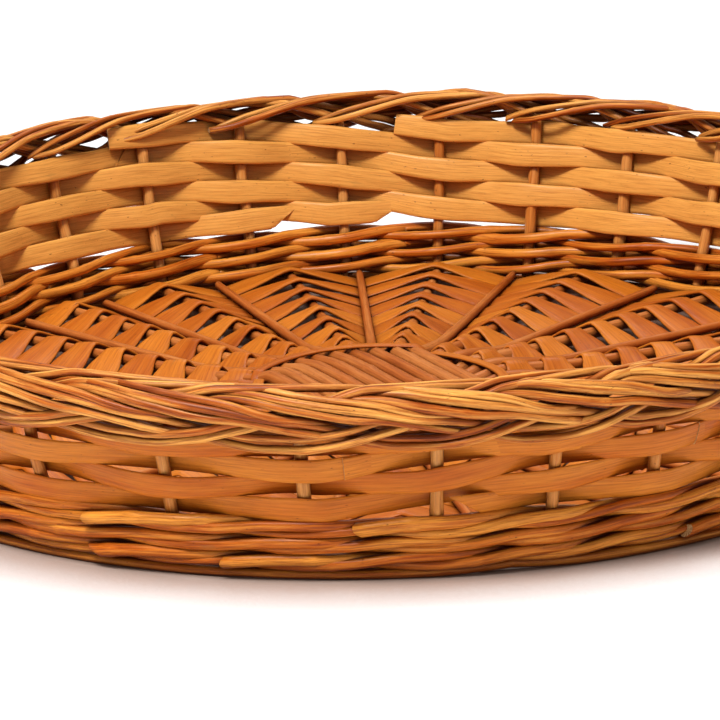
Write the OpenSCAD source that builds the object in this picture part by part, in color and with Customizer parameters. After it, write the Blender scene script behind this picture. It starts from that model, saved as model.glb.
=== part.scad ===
// Shallow round winnowing basket, woven from willow rods and flat splints.
// Z is up. The origin is on the ground, under the centre of the basket.

/* [Overall] */
// Diameter over the plaited border
rim_d = 420; // [400:5:460]
// Height to the top of the border
height = 70.5; // [70:0.5:80]
// How far the wall leans out for each millimetre of height
lean = 0.28; // [0.15:0.01:0.3]

/* [Base] */
// Diameter of a base stick
stick_d = 6.2; // [5.4:0.1:6.4]
// Direction of the upper bundle of base sticks, in degrees from X
bundle_angle = 115.6; // [0:0.1:180]
// Height of the ring of stick ends, to the middle of the sticks
stick_end_z = 8; // [7:0.5:10]

/* [Floor] */
// Width of a floor splint
floor_w = 9; // [6:0.5:10]
// Thickness of a floor splint
floor_t = 1.2; // [0.8:0.1:1.4]

/* [Wall] */
// Angle of the first stake from X, before the unevenness
first_stake_angle = 259.6; // [240:0.1:300]
// How unevenly the stakes and spokes are spaced: 0 is even
uneven = 1; // [0:0.1:1.2]
// Diameter of a stake
stake_d = 4; // [3:0.1:4.4]
// Width of a wall splint
wall_w = 6.6; // [5:0.1:6.6]
// Thickness of a wall splint
wall_t = 1; // [0.8:0.1:1.2]
// Diameter of a wale rod, at the foot of the wall
wale_d = 3.3; // [2.8:0.1:3.3]

/* [Border] */
// Diameter of a border rod
border_d = 3.4; // [2.8:0.1:3.6]

/* [Hidden] */

// Counts
stake_n = 30;
upper_n = 10;
lower_n = 9;
floor_rounds = 9;
wale_courses = 3;
wale_rods = 3;          // rods in a course: each passes in front of two stakes and behind the third
wall_rows = 5;
border_rod_n = 3;       // rods in each group of the border

// Clearance between pieces that touch
gap = 0.2;

// Colours
stick_col = [0.62, 0.36, 0.2];
splint_col = [0.85, 0.55, 0.25];
rod_col = [0.78, 0.46, 0.19];
stake_col = [0.8, 0.52, 0.3];

// Angles between neighbours
stake_step = 360 / stake_n;
leg_n = 2 * (upper_n + lower_n);
leg_step = 360 / leg_n;

// Angle at stake number i, where a fraction lies between two stakes.
// The spacing was judged by eye, so it drifts slowly round the basket.
function stake_angle(i) =
    let (a = i * stake_step)
    first_stake_angle + a + uneven * (3.6 * sin(a - 34) + 2.8 * sin(2 * a + 86) + 2 * sin(3 * a + 64));

// The rows of wall splint swap sides once at the front and once at the left
swap_low = 1;
swap_high = 24;
function inside(i, row) = (i + row + (i <= swap_low || i >= swap_high ? 1 : 0)) % 2 == 1;

// Border: the rods roll over the rim in two layers
splint_face = stake_d / 2 + gap / 2 + lean * wall_w / 2 + wall_t;
layer_1 = splint_face + border_d / 2 + gap / 2;
layer_2 = layer_1 + border_d + gap / 2;
roll_z = height - layer_2 - border_d / 2;
rod_pitch = border_d + gap / 2;

// Line through the middles of the stakes
stake_rim_r = rim_d / 2 - layer_2 - border_d / 2;
function stake_r(z) = stake_rim_r - lean * (roll_z - z);

// Foot and wale
foot_d = wale_d + 0.4;
foot_z = foot_d / 2 - 0.3;      // the underside is worn flat at z = 0
foot_top = foot_z + foot_d / 2;
wale_pitch = wale_d + gap / 2;
function wale_z(course) = foot_top + gap + wale_pitch * (2 * course - 1);
wale_top = wale_z(wale_courses) + wale_pitch;
wale_swing = stake_d / 2 + wale_d / 2 + gap / 2;

// Wall rows fill the height between the wale and the border
row_low_z = wale_top + 0.8;
row_pitch = (roll_z - 1 - row_low_z) / wall_rows;
function row_z(row) = row_low_z + (row - 1) * row_pitch;

// Base sticks: two crossing bundles whose ends fan out to a ring
bundle_pitch = stick_d + gap;
upper_half = upper_n * bundle_pitch / 2;
lower_half = lower_n * bundle_pitch / 2;
slath_low_z = stick_d / 2 + 2;
slath_high_z = slath_low_z + stick_d + gap / 2;
fan_r = 48;                     // where the sticks come to one level
fan_z = stick_end_z + 1;
stick_end_r = stake_r(stick_end_z) - wale_swing - wale_d / 2 - 1.2;

// Floor rounds
floor_first_r = fan_r + 1.5 + floor_w / 2;
floor_last_r = stick_end_r - 1 - floor_w / 2;
floor_pitch = (floor_last_r - floor_first_r) / (floor_rounds - 1);
floor_lift = stick_d / 2 + floor_t / 2 + gap;
dense_rounds = 4;               // inner rounds need a flat over each stick
function round_r(k) = floor_first_r + (k - 1) * floor_pitch;
function stick_z(r) = fan_z + (stick_end_z - fan_z) * (r - fan_r) / (stick_end_r - fan_r);

// Knots of a border rod: [stakes along the rim, degrees round the roll or drop below it, layer]
// A rod rises inside the rim, rolls over it, runs down outside, then rises and tucks under.
border_knots = [
    [-0.7, 180, 0, 1], [-0.2, 150, 0, 1], [0.3, 110, 0, 1.4], [0.8, 70, 0, 2], [1.3, 25, 0, 2],
    [1.75, 0, 1.5, 1.6], [2.2, 0, 5.8, 1], [2.55, 0, 6.8, 1.1], [2.9, 0, 6.5, 1.7], [3.2, 0, 3.8, 2],
    [3.45, 0, 1, 1.2]
];
short_knots = 7;                // the top rod of a group ends under the next group

// ---- helpers ----
function polar(r, a, z) = [r * cos(a), r * sin(a), z];
function unit(v) = v / norm(v);

// Ring of points round a path, square to it
function tube_section(p, dir, d, sides) =
    let (side = unit(cross(dir, [0, 0, 1])), up = cross(side, dir))
    [for (i = [0:sides - 1])
        p + d / 2 * (cos((i + 0.5) * 360 / sides) * side + sin((i + 0.5) * 360 / sides) * up)];

// Skin through equal sections, given in order; closed joins the last to the first
module skin(sections, closed) {
    n = len(sections);
    m = len(sections[0]);
    last = closed ? n - 1 : n - 2;
    sides = [for (i = [0:last], j = [0:m - 1], h = [0, 1])
        let (a = i * m + j, b = i * m + (j + 1) % m, c = ((i + 1) % n) * m + j,
             e = ((i + 1) % n) * m + (j + 1) % m)
        h == 0 ? [a, c, b] : [b, c, e]];
    end = (n - 1) * m;
    start_cap = closed ? [] : [for (j = [1:m - 2]) [0, j, j + 1]];
    end_cap = closed ? [] : [for (j = [1:m - 2]) [end, end + j + 1, end + j]];
    polyhedron(points = [for (s = sections) each s], faces = concat(sides, start_cap, end_cap));
}

// Round rod through a list of points
module rod(path, d, sides) {
    n = len(path);
    skin([for (i = [0:n - 1])
        let (dir = unit(path[min(i + 1, n - 1)] - path[max(i - 1, 0)]))
        tube_section(path[i], dir, d, sides)], false);
}

// Round rod that closes on itself
module rod_ring(path, d, sides) {
    n = len(path);
    skin([for (i = [0:n - 1])
        let (dir = unit(path[(i + 1) % n] - path[(i + n - 1) % n]))
        tube_section(path[i], dir, d, sides)], true);
}

// Flat splint that lies level and closes on itself: stations are [radius, angle, z]
module flat_ring(stations, w, t) {
    skin([for (s = stations)
        [polar(s[0] - w / 2, s[1], s[2] - t / 2), polar(s[0] + w / 2, s[1], s[2] - t / 2),
         polar(s[0] + w / 2, s[1], s[2] + t / 2), polar(s[0] - w / 2, s[1], s[2] + t / 2)]], true);
}

// ---- base ----
// The spokes are spread by eye: how far the outer end of the one at angle a leans from its even place
function spoke_drift(a) = -14.5 * uneven * exp(-pow((a % 360 - 165) / 33, 2));

// Half a base stick: straight through the slath, then out along its own spoke. side is 1 or -1
function leg(side, spoke, turn, offset_y, straight, low_z) =
    let (drift = spoke_drift(turn + (side > 0 ? spoke : 180 - spoke)))
    [for (p = [[straight, offset_y, low_z], polar(fan_r, spoke, fan_z),
               polar(stick_end_r, spoke + side * drift, stick_end_z)])
        [side * p[0], p[1], p[2]]];

module base_stick(offset_y, half, spoke, low_z, turn) {
    near = leg(-1, spoke, turn, offset_y, half + 1, low_z);
    far = leg(1, spoke, turn, offset_y, half + 1, low_z);
    rod(concat([near[2], near[1], near[0]], far), stick_d, 8);
}

module base_sticks_lower() {
    color(stick_col)
    rotate([0, 0, bundle_angle + 90])
    for (i = [0:lower_n - 1])
        let (k = i - (lower_n - 1) / 2)
        base_stick(k * bundle_pitch, upper_half, k * leg_step, slath_low_z, bundle_angle + 90);
}

module base_sticks_upper() {
    color(stick_col)
    rotate([0, 0, bundle_angle])
    for (i = [0:upper_n - 1])
        let (k = i - (upper_n - 1) / 2)
        base_stick(k * bundle_pitch, lower_half, k * leg_step, slath_high_z, bundle_angle);
}

// Two rounds of thin splint that tie the crossing: over one bundle and under the other
binding_w = 2.6;
binding_t = 0.8;
// Where spoke i is at radius r
function spoke_angle(i, r) =
    let (a = bundle_angle + (i + 0.5) * leg_step, share = (r - fan_r) / (stick_end_r - fan_r))
    a + spoke_drift(a) * max(0, share) * stick_end_r / r;
function in_upper(i) = let (k = (i + upper_n / 2) % (upper_n + lower_n)) k < upper_n;
module binding_round(r, over_upper) {
    lift = stick_d / 2 + binding_t / 2 + gap;
    flat_ring([for (i = [0:leg_n - 1])
        let (rise = (r - lower_half) / (fan_r - lower_half),
             z = in_upper(i) ? slath_high_z + (fan_z - slath_high_z) * rise
                             : slath_low_z + (fan_z - slath_low_z) * rise)
        [r, spoke_angle(i, r), z + (in_upper(i) == over_upper ? lift : -lift)]], binding_w, binding_t);
}

module slath_binding() {
    color(splint_col) {
        binding_round(fan_r - 4.6, false);
        binding_round(fan_r - 1.4, true);
    }
}

// ---- floor ----
// A round of floor splint goes over every second spoke and under the rest
module floor_splint(k) {
    r = round_r(k);
    z = stick_z(r);
    flat = k <= dense_rounds ? [-1.5, 1.5] : [0];
    color(splint_col)
    flat_ring([for (i = [0:leg_n - 1], f = flat)
        [r, spoke_angle(i, r) + f / r * 180 / PI, z + (i % 2 == 0 ? floor_lift : -floor_lift)]],
        floor_w, floor_t);
}

// ---- wall ----
// The lowest rod: a plain ring that the basket stands on
module foot_rod() {
    color(rod_col)
    rotate_extrude($fn = 128)
    translate([stake_r(0) + wale_swing, 0])
    intersection() {
        translate([0, foot_z]) circle(d = foot_d, $fn = 32);
        translate([-foot_d, 0]) square([2 * foot_d, 2 * foot_d]);
    }
}

// Knots of a wale rod, over three stakes: [stakes along, swing in or out, half courses up or down]
// It dips behind a stake, comes out low, climbs across two stakes and goes in again high.
wale_knots = [[0, -1, 0], [0.5, 0, -1], [1, 1, -1], [1.25, 1, -1], [1.75, 1, 1], [2, 1, 1], [2.5, 0, 1]];

// A course is three rods, each one stake behind the last
module wale_course(course) {
    color(rod_col)
    for (first = [0:wale_rods - 1])
        rod_ring([for (i = [0:wale_rods:stake_n - 1], k = wale_knots)
            let (z = wale_z(course) + k[2] * wale_pitch / 2)
            polar(stake_r(z) + k[1] * wale_swing, stake_angle(first + course + i + k[0]), z)],
            wale_d, 5);
}

// Stakes lean outwards; they stand on the foot rod and end inside the border
module stake(i) {
    low = foot_top + 1;
    length = (roll_z - low) * sqrt(1 + lean * lean);
    rotate([0, 0, stake_angle(i)])
    translate([stake_r(low), 0, low])
    rotate([0, atan(lean), 0])
    cylinder(d = stake_d, h = length, $fn = 24);
}

module stakes_even() {
    color(stake_col)
    for (i = [0:2:stake_n - 1]) stake(i);
}

module stakes_odd() {
    color(stake_col)
    for (i = [1:2:stake_n - 1]) stake(i);
}

// A row of wall splint goes in front of every second stake; the next row swaps them
module wall_splint(row) {
    mid_r = stake_r(row_z(row) + wall_w / 2);
    swing = splint_face - wall_t / 2;
    edge = [for (i = [0:stake_n - 1], f = [-0.08, 0.08])
        [mid_r + (inside(i, row) ? -swing : swing), stake_angle(i + f)]];
    color(splint_col)
    translate([0, 0, row_z(row)])
    linear_extrude(height = wall_w)
    difference() {
        polygon([for (e = edge) [(e[0] + wall_t / 2) * cos(e[1]), (e[0] + wall_t / 2) * sin(e[1])]]);
        polygon([for (e = edge) [(e[0] - wall_t / 2) * cos(e[1]), (e[0] - wall_t / 2) * sin(e[1])]]);
    }
}

// ---- border ----
// Point of a border rod: across is the rod's place in its group, along the band
function border_point(knot, i, across) =
    let (reach = layer_1 + (knot[3] - 1) * (layer_2 - layer_1),
         turn = knot[2] > 0 ? 0 : knot[1] - across / reach * 180 / PI,
         drop = knot[2] > 0 ? knot[2] + across : max(0, -turn) / 180 * PI * reach,
         bend = max(0, turn),
         z = roll_z + reach * sin(bend) - drop)
    polar(stake_r(z) + reach * cos(bend), stake_angle(i + knot[0]), z);

module border_rod(i, place) {
    knots = place == 0 ? short_knots : len(border_knots);
    across = (place - 1) * rod_pitch;
    rod([for (k = [0:knots - 1]) border_point(border_knots[k], i, across)], border_d, 5);
}

module border_rods(set) {
    place = floor((set - 1) / 2);
    first = (set - 1) % 2;
    color(rod_col)
    for (i = [first:2:stake_n - 1]) border_rod(i, place);
}

module floor_splint_1() floor_splint(1);
module floor_splint_2() floor_splint(2);
module floor_splint_3() floor_splint(3);
module floor_splint_4() floor_splint(4);
module floor_splint_5() floor_splint(5);
module floor_splint_6() floor_splint(6);
module floor_splint_7() floor_splint(7);
module floor_splint_8() floor_splint(8);
module floor_splint_9() floor_splint(9);
module wale_course_1() wale_course(1);
module wale_course_2() wale_course(2);
module wale_course_3() wale_course(3);
module wall_splint_1() wall_splint(1);
module wall_splint_2() wall_splint(2);
module wall_splint_3() wall_splint(3);
module wall_splint_4() wall_splint(4);
module wall_splint_5() wall_splint(5);
module border_rods_1() border_rods(1);
module border_rods_2() border_rods(2);
module border_rods_3() border_rods(3);
module border_rods_4() border_rods(4);
module border_rods_5() border_rods(5);
module border_rods_6() border_rods(6);

base_sticks_lower();
base_sticks_upper();
slath_binding();
floor_splint_1();
floor_splint_2();
floor_splint_3();
floor_splint_4();
floor_splint_5();
floor_splint_6();
floor_splint_7();
floor_splint_8();
floor_splint_9();
foot_rod();
wale_course_1();
wale_course_2();
wale_course_3();
stakes_even();
stakes_odd();
wall_splint_1();
wall_splint_2();
wall_splint_3();
wall_splint_4();
wall_splint_5();
border_rods_1();
border_rods_2();
border_rods_3();
border_rods_4();
border_rods_5();
border_rods_6();
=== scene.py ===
"""Looks of the winnowing basket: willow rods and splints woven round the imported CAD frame.

Lengths are worked in millimetres and turned to metres when a mesh is made.
A place along the rim or wall is given in stakes (u), so u = 2.5 is halfway between stakes 2 and 3.
"""
import math

import bpy
import numpy as np
from mathutils import Matrix, Vector


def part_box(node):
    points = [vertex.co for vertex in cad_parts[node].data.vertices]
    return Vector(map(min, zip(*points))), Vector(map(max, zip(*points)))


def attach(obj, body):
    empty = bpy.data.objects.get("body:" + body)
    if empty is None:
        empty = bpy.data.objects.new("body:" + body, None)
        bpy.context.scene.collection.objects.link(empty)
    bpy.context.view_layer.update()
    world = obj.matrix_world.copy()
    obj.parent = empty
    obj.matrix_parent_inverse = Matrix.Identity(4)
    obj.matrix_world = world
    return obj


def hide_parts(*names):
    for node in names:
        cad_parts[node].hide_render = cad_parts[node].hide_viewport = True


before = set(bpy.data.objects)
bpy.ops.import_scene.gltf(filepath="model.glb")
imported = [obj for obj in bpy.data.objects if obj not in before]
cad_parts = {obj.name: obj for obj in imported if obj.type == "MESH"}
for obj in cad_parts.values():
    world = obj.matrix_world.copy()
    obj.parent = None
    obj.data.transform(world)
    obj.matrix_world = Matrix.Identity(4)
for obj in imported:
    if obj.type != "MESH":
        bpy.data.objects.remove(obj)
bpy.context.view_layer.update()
MM = 0.001
rng = np.random.default_rng(635)


# ---------------------------------------------------------------- sizes from the CAD model
def cad(node):
    """Lowest and highest corner of a CAD node, in millimetres."""
    lo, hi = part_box(node)
    return np.array(lo) / MM, np.array(hi) / MM


STAKE_N = 30
WALL_ROWS = 5
WALE_COURSES = 3
FLOOR_ROUNDS = 9
BORDER_NODES = ["border_rods_%d" % k for k in range(1, 7)]
LEAN = 0.28                     # the wall leans out this much for each millimetre of height
STAKE_D = 4.0
ROD_D = 3.3                     # border rods
WALE_D = 3.7
SPLINT_T = 1.1
STICK_D = 6.2
STICK_PITCH = STICK_D + 0.2       # base sticks side by side

rim_r = max(cad(n)[1][0] for n in BORDER_NODES)
rim_top = max(cad(n)[1][2] for n in BORDER_NODES)
stake_low, stake_high = cad("stakes_even")[0][2], cad("stakes_even")[1][2]
face = STAKE_D / 2 + 0.1 + LEAN * ROD_D + 1.0
LAYER_1 = face + ROD_D / 2 + 0.1
LAYER_2 = LAYER_1 + ROD_D + 0.1
ROLL_Z = rim_top - LAYER_2 - ROD_D / 2
RIM_STAKE_R = rim_r - LAYER_2 - ROD_D / 2
WALE_SWING = STAKE_D / 2 + WALE_D / 2
FOOT_ROD_R = 1.85
FOOT_R = cad("foot_rod")[1][0] - FOOT_ROD_R
FOOT_TOP = cad("foot_rod")[1][2]
FAN_R = 48.0
STICK_END_R = cad("floor_splint_9")[1][0] + 1.0
STICK_END_Z = 8.0
FAN_Z = 9.0
BUNDLE_ANGLE = 115.6
UPPER_N, LOWER_N = 10, 9
LEG_N = 2 * (UPPER_N + LOWER_N)
LEG_STEP = 360.0 / LEG_N
FLOOR_T = 1.8                   # a floor splint with its crown
FLOOR_WIDE, FLOOR_PINCH = 14.0, 4.6     # its width between sticks, and what it loses over one
FLOOR_INSET = 4.5               # from a CAD splint's outer edge to its middle
BINDING_WIDE, BINDING_T = 3.9, 1.3
SLATH_LOW_Z = STICK_D / 2 + 2
SLATH_HIGH_Z = SLATH_LOW_Z + STICK_D + 0.1


def stake_r(z):
    return RIM_STAKE_R - LEAN * (ROLL_Z - z)


FIRST_STAKE = 259.6             # degrees from X
STAKE_STEP = 360.0 / STAKE_N


def stake_angle(u):
    """Angle in radians at stake u. The spacing drifts slowly, as the maker judged it by eye."""
    a = np.asarray(u, float) * STAKE_STEP
    drift = (3.6 * np.sin(np.radians(a - 34)) + 2.8 * np.sin(np.radians(2 * a + 86))
             + 2.0 * np.sin(np.radians(3 * a + 64)))
    return np.radians(FIRST_STAKE + a + drift)


# ---------------------------------------------------------------- small numeric helpers
def eased(xs, ys, x):
    """Smooth curve through (xs, ys) that never overshoots; ys may have several columns."""
    xs, ys, x = np.asarray(xs, float), np.asarray(ys, float), np.asarray(x, float)
    if ys.ndim == 1:
        ys = ys[:, None]
        flat = True
    else:
        flat = False
    h = np.diff(xs)[:, None]
    d = np.diff(ys, axis=0) / h
    m = np.zeros_like(ys)
    same = d[:-1] * d[1:] > 0
    w1, w2 = 2 * h[1:] + h[:-1], h[1:] + 2 * h[:-1]
    with np.errstate(divide="ignore", invalid="ignore"):
        mean = (w1 + w2) / (w1 / d[:-1] + w2 / d[1:])
    m[1:-1] = np.where(same, mean, 0)
    m[0], m[-1] = d[0], d[-1]
    k = np.clip(np.searchsorted(xs, x, side="right") - 1, 0, len(xs) - 2)
    t = ((x - xs[k]) / h[k, 0])[:, None]
    hk = h[k]
    out = ((2 * t**3 - 3 * t**2 + 1) * ys[k] + (t**3 - 2 * t**2 + t) * hk * m[k]
           + (-2 * t**3 + 3 * t**2) * ys[k + 1] + (t**3 - t**2) * hk * m[k + 1])
    return out[:, 0] if flat else out


def wander(x, period, amount):
    """Slow random drift along x, about `amount` high, with waves about `period` long."""
    x = np.asarray(x, float)
    lo, hi = x.min(), x.max()
    n = max(4, int((hi - lo) / (period * 0.5)) + 3)
    return eased(np.linspace(lo - 0.01, hi + 0.01, n), rng.normal(0, amount, n), x)


def looped(x, whole, waves, amount):
    """As wander, but the ends of a loop `whole` long meet."""
    out = np.zeros_like(np.asarray(x, float))
    for k in range(1, waves + 1):
        out += rng.normal(0, amount / math.sqrt(waves)) * np.sin(
            2 * math.pi * k * x / whole + rng.uniform(0, 6.28))
    return out


def unit(v):
    return v / np.maximum(np.linalg.norm(v, axis=-1, keepdims=True), 1e-9)


def lengths(path):
    return np.concatenate([[0], np.cumsum(np.linalg.norm(np.diff(path, axis=0), axis=1))])


def resampled(path, step, *others):
    """path and any lists that go with it, at even steps along its length."""
    s = lengths(path)
    n = max(6, int(s[-1] / step) + 1)
    t = np.linspace(0, s[-1], n)
    pick = [np.stack([np.interp(t, s, path[:, c]) for c in range(3)], 1)]
    for o in others:
        o = np.asarray(o, float)
        if o.ndim == 1:
            pick.append(np.interp(t, s, o))
        else:
            pick.append(np.stack([np.interp(t, s, o[:, c]) for c in range(o.shape[1])], 1))
    return pick


def ring_xyz(u, r, z):
    a = stake_angle(u)
    return np.stack([r * np.cos(a), r * np.sin(a), z], 1)


def polar(r, a, z):
    return np.stack([r * np.cos(a), r * np.sin(a), z + 0 * r], 1)


# ---------------------------------------------------------------- mesh building
class Weave:
    """Collects many rods and splints into one mesh, with what the materials need: grain (along,
    across and through, in mm), tone (one random number a piece) and cut (1 on a cut end)."""

    def __init__(self):
        self.co, self.faces, self.grain, self.tone, self.cut, self.n = [], [], [], [], [], 0

    def skin(self, rings, grain, tone, closed=False, caps=(None, None)):
        """rings: (n, m, 3) points; grain the same shape. caps: the centres of the closed ends."""
        n, m, _ = rings.shape
        base = self.n
        self.co.append(rings.reshape(-1, 3))
        self.grain.append(grain.reshape(-1, 3))
        self.tone.append(np.full(n * m, tone))
        self.cut.append(np.zeros(n * m))
        self.n += n * m
        i = np.arange(n if closed else n - 1)[:, None]
        j = np.arange(m)[None, :]
        a = base + i * m + j
        b = base + i * m + (j + 1) % m
        c = base + ((i + 1) % n) * m + (j + 1) % m
        d = base + ((i + 1) % n) * m + j
        self.faces.append(np.stack([a, b, c, d], -1).reshape(-1, 4))
        for end, centre in zip((0, n - 1), caps):
            if centre is None:
                continue
            rim = rings[end]
            inner = centre + (rim - centre) * 0.55
            g = grain[end]
            gi = g.copy()
            self.co += [rim, inner, centre[None]]
            self.grain += [g, gi, g.mean(0)[None]]
            self.tone.append(np.full(2 * m + 1, tone))
            self.cut.append(np.ones(2 * m + 1))
            start = self.n
            self.n += 2 * m + 1
            jj = np.arange(m)
            nx = (jj + 1) % m
            q = np.stack([start + jj, start + nx, start + m + nx, start + m + jj], -1)
            t = np.stack([start + m + jj, start + m + nx, np.full(m, start + 2 * m),
                          np.full(m, -1)], -1)
            both = np.concatenate([q, t])
            if end == 0:
                both = np.where(both[:, 3:] < 0, both[:, [1, 0, 2, 3]], both[:, [1, 0, 3, 2]])
            self.faces.append(both)

    def build(self, name, material, node, slot):
        co = np.concatenate(self.co) * MM
        faces = np.concatenate(self.faces)
        tri = faces[:, 3] < 0
        loops = np.where(tri, 3, 4)
        starts = np.concatenate([[0], np.cumsum(loops)[:-1]])
        index = faces.reshape(-1)
        index = index[index >= 0]
        mesh = bpy.data.meshes.new(name)
        mesh.vertices.add(len(co))
        mesh.vertices.foreach_set("co", co.astype(np.float32).ravel())
        mesh.loops.add(len(index))
        mesh.loops.foreach_set("vertex_index", index.astype(np.int32))
        mesh.polygons.add(len(faces))
        mesh.polygons.foreach_set("loop_start", starts.astype(np.int32))
        mesh.polygons.foreach_set("loop_total", loops.astype(np.int32))
        mesh.update(calc_edges=True)
        mesh.validate()
        mesh.polygons.foreach_set("use_smooth", np.ones(len(mesh.polygons), bool))
        layer = mesh.attributes.new("grain", "FLOAT_VECTOR", "POINT")
        layer.data.foreach_set("vector", np.concatenate(self.grain).astype(np.float32).ravel())
        for label, values in (("tone", self.tone), ("cut", self.cut)):
            layer = mesh.attributes.new(label, "FLOAT", "POINT")
            layer.data.foreach_set("value", np.concatenate(values).astype(np.float32))
        mesh.materials.append(material)
        obj = bpy.data.objects.new(name, mesh)
        bpy.context.scene.collection.objects.link(obj)
        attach(obj, "root")
        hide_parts(*([node] if isinstance(node, str) else node))
        return obj


def frames(path, ref):
    """Tangent, side and up along a path; ref is the direction that side stays square to."""
    tangent = unit(np.gradient(path, axis=0))
    side = unit(np.cross(tangent, ref))
    return tangent, side, np.cross(side, tangent)


def tube(weave, path, radius, ref=(0, 0, 1), sides=11, step=2.4, flat=0.0, knots=True,
         slant=(0.5, 0.5)):
    """One willow rod. radius may vary along it; knots swell it a little."""
    radius = np.broadcast_to(np.asarray(radius, float), (len(path),))
    path, radius = resampled(path, step, radius)
    s = lengths(path)
    n = len(path)
    if knots:
        at = rng.uniform(6, 30)
        swell = np.zeros(n)
        while at < s[-1] - 5:
            swell += rng.uniform(0.04, 0.16) * np.exp(-((s - at) / rng.uniform(1.2, 2.6)) ** 2)
            at += rng.uniform(22, 60)
        radius = radius * (1 + swell)
    tangent, side, up = frames(path, np.asarray(ref, float))
    theta = np.linspace(0, 2 * math.pi, sides, endpoint=False)[None, :]
    turn = rng.uniform(0, 6.28)
    oval = 1 + 0.035 * np.cos(2 * theta + turn + s[:, None] / 40) + 0.02 * np.cos(
        3 * theta + 1.7 * turn - s[:, None] / 25)
    oval = oval * (1 - flat * np.cos(theta) ** 2)
    rr = radius[:, None] * oval
    cs, sn = rr * np.cos(theta), rr * np.sin(theta)
    rings = path[:, None] + cs[..., None] * side[:, None] + sn[..., None] * up[:, None]
    offset = rng.uniform(0, 900)
    grain = np.stack([s[:, None] + offset + 0 * cs, cs, sn], -1)
    where = [rng.uniform(0, 6.28), rng.uniform(0, 6.28)]
    for e, (end, way) in enumerate(((0, -1), (n - 1, 1))):
        r = radius[end]
        out = tangent[end] * way
        lean_cut = slant[e] * np.cos(theta[0] - where[e])
        rings[end] = rings[end] + out * (r * lean_cut)[:, None]
    caps = (rings[0].mean(0) - tangent[0] * 0.1, rings[-1].mean(0) + tangent[-1] * 0.1)
    lips = [caps[e] + (rings[end] - caps[e]) * 0.84 + tangent[end] * way * radius[end] * 0.14
            for e, (end, way) in enumerate(((0, -1), (n - 1, 1)))]
    rings = np.concatenate([lips[0][None], rings, lips[1][None]])
    grain = np.concatenate([grain[:1], grain, grain[-1:]])
    weave.skin(rings, grain, rng.uniform(), caps=caps)


# half section of a split and shaved willow: crowned skin side, flatter inner side, round edges
FLAT_SHAPE = np.array([
    [1.0, 0.05], [0.955, 0.5], [0.78, 0.8], [0.42, 0.97], [0.0, 1.0], [-0.42, 0.97], [-0.78, 0.8],
    [-0.955, 0.5], [-1.0, 0.05], [-0.95, -0.5], [-0.7, -0.82], [0.0, -0.78], [0.7, -0.82],
    [0.95, -0.5]])


def ribbon(weave, path, normal, width, thick, step=2.4, closed=False, points=(0.0, 0.0)):
    """One flat splint. normal is the direction its crowned side faces.
    points gives how long the pointed cut at each end is; 0 is a square cut."""
    width = np.broadcast_to(np.asarray(width, float), (len(path),))
    thick = np.broadcast_to(np.asarray(thick, float), (len(path),))
    if closed:
        path, normal = np.concatenate([path, path[:1]]), np.concatenate([normal, normal[:1]])
        width, thick = np.concatenate([width, width[:1]]), np.concatenate([thick, thick[:1]])
    path, normal, width, thick = resampled(path, step, normal, width, thick)
    s = lengths(path)
    if closed:
        path, normal, width, thick, s = path[:-1], normal[:-1], width[:-1], thick[:-1], s[:-1]
        tangent = unit(np.roll(path, -1, 0) - np.roll(path, 1, 0))
    else:
        tangent = unit(np.gradient(path, axis=0))
    across = unit(np.cross(tangent, normal))
    up = unit(np.cross(across, tangent))
    w = width[:, None] / 2 * FLAT_SHAPE[None, :, 0]
    h = thick[:, None] / 2 * FLAT_SHAPE[None, :, 1]
    if not closed:
        # a pointed end: the splint is cut across at a slant, so one edge runs on further
        for end, long in zip((0, -1), points):
            if long:
                at = s if end == 0 else s[-1] - s
                limit = np.clip(at / long, 0.06, 1)[:, None] * 2 - 1
                w = np.minimum(w, width[:, None] / 2 * limit) if end == 0 else np.maximum(
                    w, -width[:, None] / 2 * limit)
    rings = path[:, None] + w[..., None] * across[:, None] + h[..., None] * up[:, None]
    offset = rng.uniform(0, 900)
    grain = np.stack([s[:, None] + offset + 0 * w, w, h], -1)
    caps = (None, None) if closed else (rings[0].mean(0), rings[-1].mean(0))
    weave.skin(rings, grain, rng.uniform(), closed, caps)


# ---------------------------------------------------------------- materials
def mix(nodes, links, kind, fac, a, b):
    node = nodes.new("ShaderNodeMix")
    node.data_type = "RGBA"
    node.blend_type = kind
    for socket, value in ((node.inputs[0], fac), (node.inputs[6], a), (node.inputs[7], b)):
        if isinstance(value, bpy.types.NodeSocket):
            links.new(value, socket)
        else:
            socket.default_value = value
    return node.outputs[2]


def ramp(nodes, links, fac, stops):
    node = nodes.new("ShaderNodeValToRGB")
    cr = node.color_ramp
    while len(cr.elements) < len(stops):
        cr.elements.new(0.5)
    for e, (pos, col) in zip(cr.elements, stops):
        e.position = pos
        e.color = (*col, 1)
    links.new(fac, node.inputs[0])
    return node.outputs[0]


def grey(v):
    return (v, v, v)


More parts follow.
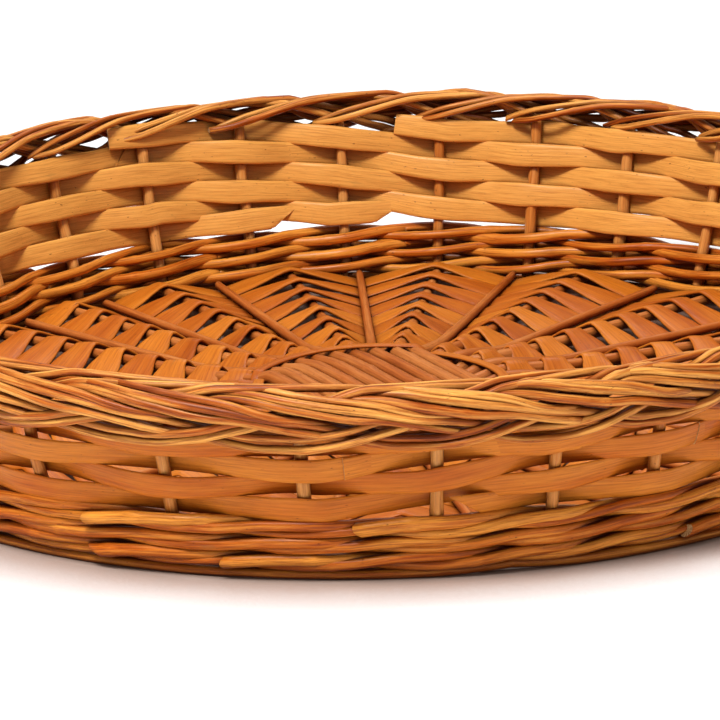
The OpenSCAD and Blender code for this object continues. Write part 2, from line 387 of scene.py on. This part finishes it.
def willow(name, light, mid, dark, rough=0.38, coat=0.08, bump=0.25, streaks=1.0, pith_and_light_tint=None,
           painted_shade=0.9, depth=0.012, clear=0.74):
    """Varnished willow. light, mid and dark are its colours from a bleached rod to a stained one;
    pith_and_light_tint is the colour that the inner side of a splint is tinted with, partly for
    the paler split wood and partly as painted light that brightens the inside of the wall;
    painted_shade is how much painted shade darkens the colour in crevices and between and under
    the pieces, and depth is how far that reaches, in metres,
    with clear the openness from which it stops."""
    mat = bpy.data.materials.new(name)
    mat.use_nodes = True
    nodes, links = mat.node_tree.nodes, mat.node_tree.links
    nodes.clear()

    def attr(label):
        node = nodes.new("ShaderNodeAttribute")
        node.attribute_name = label
        return node

    def maths(op, a, b, c=None):
        node = nodes.new("ShaderNodeMath")
        node.operation = op
        for socket, value in zip(node.inputs, (a, b, c)):
            if value is None:
                continue
            if isinstance(value, bpy.types.NodeSocket):
                links.new(value, socket)
            else:
                socket.default_value = value
        return node.outputs[0]

    grain = attr("grain").outputs["Vector"]
    tone = attr("tone").outputs["Fac"]
    cut = attr("cut").outputs["Fac"]

    def noise(scale, size, detail=3.0, rough_=0.55, shift=0.0):
        mapping = nodes.new("ShaderNodeMapping")
        mapping.inputs["Scale"].default_value = scale
        mapping.inputs["Location"].default_value = (shift, shift * 1.7, shift * 0.6)
        links.new(grain, mapping.inputs["Vector"])
        node = nodes.new("ShaderNodeTexNoise")
        node.inputs["Scale"].default_value = size
        node.inputs["Detail"].default_value = detail
        node.inputs["Roughness"].default_value = rough_
        links.new(mapping.outputs[0], node.inputs["Vector"])
        return node.outputs["Fac"]

    fibre = noise((0.035, 1, 1), 1.7, 4.0, 0.7)           # fine lines along the rod
    streak = noise((0.022, 0.5, 0.5), 1.0, 3.0, 0.6, 11)   # broader streaks
    patch = noise((0.03, 0.1, 0.1), 1.0, 2.0, 0.5, 23)     # slow change of colour along the rod
    fleck = noise((0.35, 1.0, 1.0), 1.4, 2.0, 0.5, 37)     # knots and dark flecks
    stain = noise((0.06, 0.25, 0.25), 1.0, 3.0, 0.6, 51)   # grey-green weather marks

    spread = maths("MULTIPLY_ADD", tone, 0.42, maths("MULTIPLY_ADD", patch, 0.75, 0.17))
    spread = maths("ADD", spread, maths("MULTIPLY", maths("SUBTRACT", streak, 0.5), 1.2 * streaks))
    colour = ramp(nodes, links, spread, [(0.22, dark), (0.53, mid), (0.9, light)])
    # partly painted light: the inner side of a splint is tinted paler, both for the paler split
    # wood and as painted light that brightens the inside of the wall
    if pith_and_light_tint:
        through = nodes.new("ShaderNodeSeparateXYZ")
        links.new(grain, through.inputs[0])
        inner = maths("MULTIPLY", maths("LESS_THAN", through.outputs["Z"], 0.0), 0.75)
        colour = mix(nodes, links, "MIX", inner, colour, (*pith_and_light_tint, 1))
    lines = ramp(nodes, links, fibre, [(0.36, (0.5, 0.36, 0.28)), (0.5, grey(0.96)),
                                       (0.66, (1.25, 1.45, 1.7))])
    colour = mix(nodes, links, "MULTIPLY", 0.85 * streaks, colour, lines)
    # painted shade: the colour is multiplied towards dark red-brown where ambient occlusion finds
    # other surfaces close by, in crevices and between and under the rods and splints
    shade_ao = nodes.new("ShaderNodeAmbientOcclusion")
    shade_ao.samples = 6
    shade_ao.inputs["Distance"].default_value = depth
    painted_shade_colour = ramp(nodes, links, shade_ao.outputs["AO"],
                [(0.2, (0.17, 0.07, 0.035)), (clear, grey(1.0))])
    colour = mix(nodes, links, "MULTIPLY", painted_shade, colour, painted_shade_colour)
    spots = ramp(nodes, links, fleck, [(0.7, grey(0)), (0.76, grey(1))])
    colour = mix(nodes, links, "MIX", maths("MULTIPLY", spots, 0.7), colour,
                 (dark[0] * 0.33, dark[1] * 0.25, dark[2] * 0.3, 1))
    marks = ramp(nodes, links, stain, [(0.68, grey(0)), (0.78, grey(1))])
    colour = mix(nodes, links, "MIX", maths("MULTIPLY", marks, 0.28), colour,
                 (0.16, 0.12, 0.045, 1))
    rings = ramp(nodes, links, fibre, [(0.35, (0.32, 0.13, 0.04)), (0.7, (0.78, 0.5, 0.22))])
    colour = mix(nodes, links, "MIX", cut, colour, rings)

    shader = nodes.new("ShaderNodeBsdfPrincipled")
    links.new(colour, shader.inputs["Base Color"])
    gloss = maths("MULTIPLY_ADD", streak, 0.22, rough - 0.11)
    links.new(maths("ADD", gloss, maths("MULTIPLY", cut, 0.3)), shader.inputs["Roughness"])
    shader.inputs["Specular IOR Level"].default_value = 0.19
    shader.inputs["Coat Weight"].default_value = coat
    shader.inputs["Coat Roughness"].default_value = 0.2
    shader.inputs["Coat IOR"].default_value = 1.48
    relief = nodes.new("ShaderNodeBump")
    relief.inputs["Strength"].default_value = bump
    relief.inputs["Distance"].default_value = 0.0004
    height = maths("ADD", maths("MULTIPLY", fibre, 0.8), maths("MULTIPLY", spots, -0.5))
    links.new(height, relief.inputs["Height"])
    links.new(relief.outputs[0], shader.inputs["Normal"])
    out = nodes.new("ShaderNodeOutputMaterial")
    links.new(shader.outputs[0], out.inputs[0])
    return mat


# the border rods' painted shade reaches furthest, into the gaps between them
M_ROD = willow("willow_rod", (0.8, 0.33, 0.06), (0.46, 0.095, 0.006), (0.15, 0.02, 0.001),
               rough=0.46, coat=0.08, bump=0.4, streaks=1.2, depth=0.016, clear=0.94)
M_WALE = willow("willow_wale", (0.74, 0.26, 0.03), (0.54, 0.115, 0.006), (0.2, 0.027, 0.001))
M_STAKE = willow("willow_stake", (0.74, 0.32, 0.08), (0.6, 0.19, 0.03), (0.36, 0.075, 0.008),
                 rough=0.3, streaks=0.6)
M_STICK = willow("willow_base_stick", (0.54, 0.17, 0.035), (0.44, 0.105, 0.014),
                 (0.22, 0.035, 0.003), rough=0.42, coat=0.1, streaks=0.6)
# the wall splints' inner side is tinted paler, partly for the split wood and partly as painted
# light; their painted shade is lighter than the other pieces'
M_SPLINT = willow("willow_wall_splint", (0.7, 0.21, 0.018), (0.57, 0.125, 0.006),
                  (0.36, 0.05, 0.0015), rough=0.4, bump=0.35, streaks=0.5,
                  pith_and_light_tint=(0.88, 0.42, 0.09), painted_shade=0.5)
M_FLOOR = willow("willow_floor_splint", (0.6, 0.17, 0.012), (0.46, 0.1, 0.005),
                 (0.29, 0.048, 0.001), rough=0.44, bump=0.35, streaks=0.5)


# ---------------------------------------------------------------- base sticks
# how far the weave lifts every second spoke and how far it sinks the rest, in millimetres
RIDGE_UP, VALLEY_DOWN = -1.5, 3.4
DRIFT_MOST, DRIFT_AT, DRIFT_SPREAD = -14.5, 165, 33     # the lean of the spokes, in degrees
THINNER = 0.22                  # how much thinner the sunk spokes are


def spoke_drift(a):
    """How far the outer end of the spoke at angle a leans from its even place, in degrees."""
    return DRIFT_MOST * np.exp(-((a % 360 - DRIFT_AT) / DRIFT_SPREAD) ** 2)


def spoke_angle(i, r):
    """Angle of spoke i at radius r, in radians; i may be between two spokes."""
    a = BUNDLE_ANGLE + (np.asarray(i, float) + 0.5) * LEG_STEP
    share = max(0.0, (r - FAN_R) / (STICK_END_R - FAN_R))
    return np.radians(a + spoke_drift(a) * share * STICK_END_R / r)


def stick_radius(r):
    """The sticks are thick in the cross and shaved thinner towards their ends."""
    return eased([0, FAN_R - 6, 75, 110, STICK_END_R], [3.1, 3.1, 2.5, 2.2, 1.9], np.atleast_1d(r))


def spoke_z(i, r):
    """Height of spoke i's middle at radius r: level at the ring of ends, uneven between."""
    level = FAN_Z + (STICK_END_Z - FAN_Z) * (r - FAN_R) / (STICK_END_R - FAN_R)
    share = np.clip((r - FAN_R) / 30.0, 0, 1)
    return level + share * (RIDGE_UP if i % 2 == 0 else -VALLEY_DOWN)


def base_sticks(name, count, other_n, low_z, turn, first_spoke):
    """first_spoke: number of the spoke that the stick with the lowest offset ends in."""
    weave = Weave()
    half = other_n * STICK_PITCH / 2
    for i in range(count):
        k = i - (count - 1) / 2
        y = k * STICK_PITCH
        pts = []
        for sign in (-1, 1):
            # the far end of stick i is spoke first+i, and its near end is the mirror of that
            spoke = first_spoke + i if sign > 0 else first_spoke + LEG_N // 2 + count - 1 - i
            off = rng.normal(0, 0.004)
            leg = [(half * 0.55, y, low_z), (half, y, low_z + (FAN_Z - low_z) * 0.1)]
            for r in (FAN_R, 80.0, 125.0, STICK_END_R):
                a = float(spoke_angle(spoke, r)) - turn + off
                leg.append((sign * r * math.cos(a), r * math.sin(a),
                            spoke_z(spoke, r) + rng.normal(0, 0.15)))
            leg = [(sign * p[0], p[1], p[2]) for p in leg]
            pts.append(leg)
        knots = np.array(pts[0][::-1] + pts[1])
        t = lengths(knots)
        path = eased(t, knots, np.linspace(0, t[-1], 200))
        c, s = math.cos(turn), math.sin(turn)
        path = np.stack([path[:, 0] * c - path[:, 1] * s, path[:, 0] * s + path[:, 1] * c,
                         path[:, 2]], 1)
        out = np.hypot(path[:, 0], path[:, 1])
        ends = [(LEG_N // 2 + count - 1 - i + first_spoke) % 2, (first_spoke + i) % 2]
        sunk = np.where(np.arange(200) < 100, ends[0], ends[1])
        taper = stick_radius(out) * (1 - THINNER * sunk * np.clip((out - FAN_R) / 30, 0, 1))
        taper = taper * rng.uniform(0.97, 1.03)
        tube(weave, path, taper, sides=12, step=2.6, flat=0.06)
    return weave.build(name, M_STICK, name, "base_stick")


base_sticks("base_sticks_lower", LOWER_N, UPPER_N, SLATH_LOW_Z,
            math.radians(BUNDLE_ANGLE + 90), LEG_N // 4 + 1 - LOWER_N // 2 - 1)
base_sticks("base_sticks_upper", UPPER_N, LOWER_N, SLATH_HIGH_Z,
            math.radians(BUNDLE_ANGLE), -(UPPER_N // 2))


def in_upper(i):
    return (i + UPPER_N // 2) % (UPPER_N + LOWER_N) < UPPER_N


def slath_binding():
    weave = Weave()
    lift = STICK_D / 2 + 0.6
    lower_half = LOWER_N * STICK_PITCH / 2
    for r, over in ((FAN_R - 4.6, False), (FAN_R - 1.4, True)):
        a, z = [], []
        for i in range(LEG_N + 1):
            rise = (r - lower_half) / (FAN_R - lower_half)
            up = in_upper(i % LEG_N)
            mid = (SLATH_HIGH_Z if up else SLATH_LOW_Z)
            mid += (FAN_Z - mid) * rise
            a.append(float(spoke_angle(i, r)))
            z.append(mid + (lift if up == over else -lift))
        t = np.linspace(a[0], a[-1], 260)
        zz = eased(a, z, t)
        path = polar(r + looped(t, 2 * math.pi, 5, 0.5), t, zz)[:-1]
        ribbon(weave, path, np.tile([0.0, 0, 1], (len(path), 1)), BINDING_WIDE, BINDING_T,
               closed=True)
    return weave.build("slath_binding", M_FLOOR, "slath_binding", "floor_splint")


slath_binding()


# ---------------------------------------------------------------- floor
FOLD, FLOOR_ROLL = 1.1, 0.14    # how sharp the folds are in mm, and their twist


def floor_round(k):
    """A floor splint: over every second spoke and under the rest; its ends pass each other."""
    name = "floor_splint_%d" % k
    r = cad(name)[1][0] - FLOOR_INSET
    weave = Weave()
    lift = float(stick_radius(r)[0]) + FLOOR_T / 2
    first = int(rng.integers(0, LEG_N // 2)) * 2
    spokes = np.arange(first, first + LEG_N + 3)
    z = np.array([spoke_z(i, r) + (lift if i % 2 == 0 else -lift) for i in spokes])
    rr = r + rng.normal(0, 0.45, len(spokes))
    t = np.linspace(spokes[0], spokes[-1], 1800)
    # straight from stick to stick, bent sharply over each one
    zz = np.interp(t, spokes, z)
    bend = FOLD / r / math.radians(LEG_STEP)
    kernel = np.hanning(max(3, int(2 * bend / (t[1] - t[0]))) + 2)
    pad = len(kernel)
    zz = np.convolve(np.pad(zz, pad, mode="edge"), kernel / kernel.sum(), "same")[pad:-pad]
    rad = eased(spokes, rr, t)
    ang = spoke_angle(t, r)
    path = polar(rad, ang, zz)
    ridge = 0.5 + 0.5 * np.cos(math.pi * t)
    wide = FLOOR_WIDE - FLOOR_PINCH * ridge ** 2 + wander(t, 6, 0.3)
    # pulled tight round the basket, the splint's inner edge lifts where it folds over a stick
    roll = FLOOR_ROLL * ridge ** 3 + wander(t, 5, 0.04)
    radial = np.stack([np.cos(ang), np.sin(ang), 0 * ang], 1)
    up = np.array([0, 0, 1.0]) * np.cos(roll)[:, None] + radial * np.sin(roll)[:, None]
    ribbon(weave, path, up, wide, FLOOR_T, step=1.5, points=(14, 16))
    return weave.build(name, M_FLOOR, name, "floor_splint")


for k in range(1, FLOOR_ROUNDS + 1):
    floor_round(k)


# ---------------------------------------------------------------- foot and wale
SETTLED, SETTLED_BACK = 0.84, 0.03       # the wale's height as a share of the CAD's


def settle(z, a):
    """The wale is beaten down tighter than its rods are thick, and most at the back."""
    return FOOT_TOP + (z - FOOT_TOP) * (SETTLED - SETTLED_BACK * np.sin(a))


def foot():
    weave = Weave()
    for start, end in ((1.4, 17.2), (16.0, 31.9)):
        u = np.linspace(start, end, 500)
        near_ends = [start, start + 1, end - 1, end]
        z = FOOT_ROD_R + wander(u, 3, 0.12) + eased(near_ends, [1.0, 0, 0, 0.9], u)
        r = FOOT_R + wander(u, 3, 0.25) - eased(near_ends, [2.4, 0, 0, 2.2], u)
        rad = eased([start, end], [1.95, 1.5], u)
        tube(weave, ring_xyz(u, r, z), np.minimum(rad, z - 0.05), step=2.4, flat=0.05, knots=False)
    return weave.build("foot_rod", M_WALE, "foot_rod", "wale_rod")


foot()
WALE_KNOTS = [(0, -1, 0), (0.5, 0, -1), (1, 1, -1), (1.25, 1, -0.8), (1.75, 1, 0.8), (2, 1, 1),
              (2.5, 0, 1)]
WALE_LENGTHS = (9, 12)          # stakes that one rod runs past before the next takes over
WALE_RADII = [2.35, 2.05, 1.7, 1.1]     # butt, body, body and tip of a rod


def wale(course):
    name = "wale_course_%d" % course
    lo, hi = cad(name)
    mid = (lo[2] + hi[2]) / 2
    pitch = (hi[2] - lo[2]) / 2 * 0.98
    weave = Weave()
    for strand in range(3):
        shift = strand + course
        u, sw, up = [], [], []
        for i in range(0, STAKE_N + 15, 3):
            for k in WALE_KNOTS:
                u.append(i + k[0])
                sw.append(k[1])
                up.append(k[2])
        u = np.array(u) + shift
        sw, up = np.array(sw), np.array(up)
        at = 0.0
        begin = shift + 1.85 + 3 * rng.integers(0, 10)
        while at < STAKE_N - 0.5:
            length = WALE_LENGTHS[rng.integers(0, 2)]
            if STAKE_N - at - length < WALE_LENGTHS[0]:
                length = STAKE_N - at
            # starts at its butt outside the wall, ends at its tip behind a stake
            t = np.linspace(begin + at - 0.45, begin + at + length + 0.5, 420)
            t_in = shift + (t - shift) % STAKE_N
            swing = eased(u, sw, t_in)
            rise = eased(u, up, t_in)
            thick = eased([t[0], t[0] + 2, t[-1] - 2, t[-1]],
                          WALE_RADII, t) * rng.uniform(0.9, 1.08)
            z = settle(mid + rise * pitch / 2, stake_angle(t)) + wander(t, 2.2, 0.45)
            ends = eased([t[0], t[0] + 0.9, t[-1] - 0.9, t[-1]],
                         [rng.uniform(0.6, 1.8), 0, 0, -1.5], t)
            r = stake_r(z) + swing * WALE_SWING + ends + wander(t, 1.5, 0.25)
            tube(weave, ring_xyz(t, r, z), thick, step=2.2, flat=0.14, slant=(0.9, 0.3))
            at += length
    return weave.build(name, M_WALE, name, "wale_rod")


for k in range(1, WALE_COURSES + 1):
    wale(k)


# ---------------------------------------------------------------- stakes
STAKE_FOOT_R, STAKE_TOP_R = 2.25, 2.0


def stakes(name, first):
    weave = Weave()
    for i in range(first, STAKE_N, 2):
        z = np.linspace(stake_low, stake_high, 30)
        bow = wander(z, 40, 0.35)
        stray = wander(z, 60, 0.0012)
        a = stake_angle(i) + stray
        r = stake_r(z) + bow
        path = np.stack([r * np.cos(a), r * np.sin(a), z], 1)
        tangential = np.array([-math.sin(a[0]), math.cos(a[0]), 0.0])
        thick = np.linspace(STAKE_FOOT_R, STAKE_TOP_R, 30) * rng.uniform(0.95, 1.05)
        tube(weave, path, thick, ref=tangential, sides=14, step=2.0)
    return weave.build(name, M_STAKE, name, "stake")


stakes("stakes_even", 0)
stakes("stakes_odd", 1)

# ---------------------------------------------------------------- wall
WALL_LOW, WALL_HIGH = 21.8, 58.3        # the rows sit a little lower than their CAD solids
ROW_PITCH = (WALL_HIGH - WALL_LOW) / WALL_ROWS
WALL_WIDE, WALL_CROSSING = 8.9, ROW_PITCH * 1.11        # at a stake, and between two
WALL_SHIFT = 0.45               # a row is this much higher inside a stake, lower outside
# The splints climb from row to row as they go round: [stakes, rows climbed], over one turn
CLIMB = np.array([[0.1, 0], [1.0, 0.45], [2.0, 1], [6.6, 1], [8.4, 0], [14.0, 0], [15.0, 0.24],
                  [16.0, 0.9], [17.0, 1.5], [18.3, 2], [30.0, 2]])
WALL_DRIFT = rng.normal(0, 0.35, (STAKE_N, 2))


def climbed(u):
    turns = np.floor((u - 0.1) / STAKE_N)
    base = u - turns * STAKE_N
    return 2 * turns + eased(CLIMB[:, 0], CLIMB[:, 1], base)


def wall_strip(weave, first_row, start, end, points=(0, 0), doubled=False):
    """One splint, from stake `start` to stake `end` as it goes round; it passes each stake on the
    other side from the last. doubled: its start lies over the end of the splint before."""
    swing = STAKE_D / 2 + SPLINT_T / 2 + 0.5
    i0, i1 = math.floor(start) - 1, math.ceil(end) + 1
    u, sw, w, dz = [], [], [], []
    for i in range(i0, i1 + 1):
        inside = (i + first_row) % 2 == 0
        for f in (-0.07, 0.07):
            u.append(i + f)
            sw.append(-1 if inside else 1)
            w.append(WALL_WIDE * (1.0 + rng.normal(0, 0.03)))
            dz.append(rng.normal(0, 0.2) + (WALL_SHIFT if inside else -WALL_SHIFT))
        u.append(i + 0.5)
        sw.append(0)
        w.append(WALL_CROSSING)
        dz.append(0.0)
    t = np.linspace(start, end, int((end - start) * 30) + 8)
    row = np.clip(first_row + climbed(t), 1.0, WALL_ROWS + 1)
    share = (row - 1) / (WALL_ROWS - 1)
    stakes_round = np.arange(i0 - 1, i1 + 2)
    low = eased(stakes_round, WALL_DRIFT[stakes_round % STAKE_N, 0], t)
    high = eased(stakes_round, WALL_DRIFT[stakes_round % STAKE_N, 1], t)
    z = WALL_LOW + (row - 0.5) * ROW_PITCH + low * (1 - share) + high * share
    z += eased(u, dz, t)
    covering = np.clip((start + LAP - t) / 0.8, 0, 1)
    proud = np.where(doubled & (t < start + LAP), LAP_PROUD * covering, 0)
    swing_t = eased(u, sw, t) * (swing + proud)
    width = eased(u, w, t)
    r = stake_r(z) + swing_t
    a = stake_angle(t)
    tilt = LEAN + wander(t, 2, 0.03)
    normal = unit(np.stack([np.cos(a), np.sin(a), -tilt], 1))
    ribbon(weave, ring_xyz(t, r, z), normal, width, SPLINT_T + 0.35, step=2.2, points=points)


# Where the splints start and end, in stakes counted on from turn to turn. first_row is the row
# that the splint would be in before the climb. A length longer than willow grows is pieced out.
WALL_RUNS = [
    (-1, [16.44, 38.2, 60.3, 76.4, 90.9], 12, 0),
    (0, [15.3, 33.4, 52.6, 64.5, 78.35], 14, 0),
    (0, [1.1, 7.6], 12, 12),
    (5, [7.4, 15.44], 10, 0),
]
OVERLAP = 1.9                   # stakes that a splint runs on under the next
LAP, LAP_PROUD = 2.2, 1.35      # stakes, and millimetres that the next one stands proud


def wall():
    rows = {k: Weave() for k in range(1, WALL_ROWS + 1)}
    for first_row, cuts, point_a, point_b in WALL_RUNS:
        for n, (a, b) in enumerate(zip(cuts[:-1], cuts[1:])):
            middle = first_row + float(climbed(np.array([(a + b) / 2]))[0])
            row = int(min(max(round(middle), 1), WALL_ROWS))
            last = n == len(cuts) - 2
            wall_strip(rows[row], first_row, a, b + (0 if last else OVERLAP),
                       points=(point_a if n == 0 else 0, point_b if last else 8), doubled=n > 0)
    for k, weave in rows.items():
        name = "wall_splint_%d" % k
        weave.build(name, M_SPLINT, name, "wall_splint")


wall()

# ---------------------------------------------------------------- border
ROD_SPACING = 2.9               # between the rods of one group
ROD_SLIM = (0.74, 0.93)         # thickness as a share of ROD_D, least and most
ROD_SWAY, ROD_DIP, ROD_STRAY = 0.24, 0.3, 0.17  # straying outwards, up and down, as a whole
# stakes along the rim, degrees round the roll, drop below it, layer
BORDER_KNOTS = [
    (0.0, 40, 0, -0.4), (0.25, 52, 0, 0.7), (0.5, 72, 0, 1.6), (1.0, 42, 0, 2.0),
    (1.5, 18.6, 0, 2.0), (2.0, 0, 0.95, 1.85), (2.4, 0, 4.5, 1.3), (2.75, 0, 7.2, 1.1),
    (3.0, 0, 6.9, 1.6), (3.3, 0, 4.6, 2.0), (3.65, 0, 0.6, 1.5), (4.0, 42, 0, 1.05),
    (4.25, 72, 0, 1.4), (4.5, 88, 0, 2.0), (4.85, 98, 0, 2.0), (5.25, 112, 0, 1.95),
    (5.6, 132, 0, 1.6), (5.9, 150, 0, 1.1), (6.1, 160, 0, 0.3), (6.25, 162, 0, -0.6)]
# the top rod of a group ends outside, under the pair of the group before
SHORT_KNOTS = BORDER_KNOTS[:5] + [(2.0, 0, 2.4, 1.8), (2.3, 0, 6.4, 0.95), (2.55, 0, 8.4, 0.75)]


def border_rod(weave, i, place):
    knots = SHORT_KNOTS if place == 0 else BORDER_KNOTS
    u = np.array([k[0] for k in knots]) + rng.normal(0, 0.03)
    jitter = rng.normal(0, ROD_STRAY)
    across = (place - 1) * ROD_SPACING * rng.uniform(0.92, 1.05)
    pts = []
    for k in knots:
        reach = LAYER_1 + (k[3] - 1) * (LAYER_2 - LAYER_1)
        if k[2] > 0 and k[1] == 0:
            pts.append((reach, 0.0, k[2] + across))
        else:
            turn = k[1] - across / max(reach, 5.0) * 57.3
            pts.append((reach, min(max(0.0, turn), 180.0), max(0.0, math.radians(-turn)) * reach))
    pts = np.array(pts)
    t = np.linspace(u[0], u[-1], int((u[-1] - u[0]) * 40))
    v = eased(u, pts, t)
    reach = v[:, 0] + wander(t, 1.6, ROD_SWAY)
    bend = np.radians(v[:, 1])
    z = ROLL_Z + reach * np.sin(bend) - v[:, 2] + wander(t, 2.2, ROD_DIP) + jitter
    r = stake_r(z) + reach * np.cos(bend)
    thick = ROD_D / 2 * rng.uniform(*ROD_SLIM)
    taper = eased([t[0], t[0] + 3.5, t[-1]], [1.06, 0.98, 0.82], t)
    tube(weave, ring_xyz(t + i, r, z), thick * taper, step=2.2, slant=(0.6, 0.7))


def border(set_no):
    name = "border_rods_%d" % set_no
    weave = Weave()
    place = (set_no - 1) // 2
    for i in range((set_no - 1) % 2, STAKE_N, 2):
        border_rod(weave, i, place)
    return weave.build(name, M_ROD, name, "border_rod")


for k in range(1, 7):
    border(k)

# ---------------------------------------------------------------- the studio
PAPER_HALF = 9.0                # metres from the middle of the sheet to its edge
SHADE_REACH = 0.05              # metres from the basket over which painted shadow darkens the paper under it
# metres from the middle and strength of the paper's painted glow, where it starts to grow and
# where it stops
GLOW = {"From Min": 0.9, "From Max": 2.4, "To Min": 0.16, "To Max": 0.85}
# the sky by height (the sine of the angle): bright in a thin band at the horizon, dim above it
SKY = [(0.06, (0.9, 0.9, 0.9)), (0.12, (0.23, 0.23, 0.23))]
MIDDLE = (0, 0, 0.03)           # what the lights point at
# name, place and size in metres, power in watts
SOFTBOXES = [
    ("key_softbox", (-0.6, -0.98, 2.0), (0.7, 0.5), 58),
    ("fill_softbox", (1.1, -1.7, 1.3), (0.8, 0.8), 2),
    ("back_softbox", (0.2, 1.2, 1.7), (1.4, 0.5), 12),
]
CAMERA_AT = (-0.0071, -2.0, 0.5883)
CAMERA_DOWN, CAMERA_ROLL = 15.84, -1.60         # degrees
LENS, SENSOR = 295.6, 36.0      # millimetres


def stage():
    """One large sheet of white paper, with painted shadow only where the basket all but touches
    it, and a painted glow that grows away from the middle.
    """
    mesh = bpy.data.meshes.new("studio_floor")
    mesh.from_pydata([(x * PAPER_HALF, y * PAPER_HALF, 0)
                      for x, y in ((-1, -1), (1, -1), (1, 1), (-1, 1))], [], [(0, 1, 2, 3)])
    mat = bpy.data.materials.new("studio_paper")
    mat.use_nodes = True
    nodes, links = mat.node_tree.nodes, mat.node_tree.links
    shader = nodes["Principled BSDF"]
    shader.inputs["Roughness"].default_value = 0.75
    noise = nodes.new("ShaderNodeTexNoise")
    noise.inputs["Scale"].default_value = 2.0
    paper = ramp(nodes, links, noise.outputs["Fac"], [(0.0, grey(0.86)), (1.0, grey(0.9))])
    # painted shadow: ambient occlusion darkens the paper to dark brown under and beside the basket
    shadow_ao = nodes.new("ShaderNodeAmbientOcclusion")
    shadow_ao.samples = 8
    shadow_ao.inputs["Distance"].default_value = SHADE_REACH
    under = ramp(nodes, links, shadow_ao.outputs["AO"],
                 [(0.12, (0.08, 0.03, 0.015)), (0.5, (0.46, 0.34, 0.28)), (0.9, grey(1.0))])
    sheet = mix(nodes, links, "MULTIPLY", 1.0, paper, under)
    links.new(sheet, shader.inputs["Base Color"])
    links.new(sheet, shader.inputs["Emission Color"])
    # painted light: the paper glows, faintly near the basket and more further out, in place of
    # lamps lighting the far paper, so that low views see no grey horizon
    place = nodes.new("ShaderNodeNewGeometry")
    away = nodes.new("ShaderNodeVectorMath")
    away.operation = "LENGTH"
    links.new(place.outputs["Position"], away.inputs[0])
    glow = nodes.new("ShaderNodeMapRange")
    for label, value in GLOW.items():
        glow.inputs[label].default_value = value
    links.new(away.outputs["Value"], glow.inputs["Value"])
    links.new(glow.outputs["Result"], shader.inputs["Emission Strength"])
    mesh.materials.append(mat)
    obj = bpy.data.objects.new("studio_floor", mesh)
    bpy.context.scene.collection.objects.link(obj)


stage()


def softbox(name, at, size, power):
    light = bpy.data.lights.new(name, "AREA")
    light.shape = "RECTANGLE"
    light.size, light.size_y = size
    light.energy = power
    obj = bpy.data.objects.new(name, light)
    bpy.context.scene.collection.objects.link(obj)
    obj.location = at
    obj.rotation_euler = (Vector(MIDDLE) - Vector(at)).to_track_quat("-Z", "Y").to_euler()


for row in SOFTBOXES:
    softbox(*row)

world = bpy.data.worlds.new("studio_world")
bpy.context.scene.world = world
world.use_nodes = True
sky_nodes, sky_links = world.node_tree.nodes, world.node_tree.links
way = sky_nodes.new("ShaderNodeTexCoord")
height = sky_nodes.new("ShaderNodeSeparateXYZ")
sky_links.new(way.outputs["Generated"], height.inputs[0])
sky = ramp(sky_nodes, sky_links, height.outputs["Z"], SKY)
sky_links.new(sky, sky_nodes["Background"].inputs["Color"])

camera_data = bpy.data.cameras.new("camera")
camera_data.sensor_width = SENSOR
camera_data.lens = LENS
camera = bpy.data.objects.new("camera", camera_data)
bpy.context.scene.collection.objects.link(camera)
camera.location = CAMERA_AT
camera.rotation_mode = "XYZ"
tilt = Matrix.Rotation(math.radians(90 - CAMERA_DOWN), 4, "X")
roll = Matrix.Rotation(math.radians(CAMERA_ROLL), 4, "Z")
camera.rotation_euler = (tilt @ roll).to_euler("XYZ")
bpy.context.scene.camera = camera
bpy.context.scene.view_settings.view_transform = "Standard"
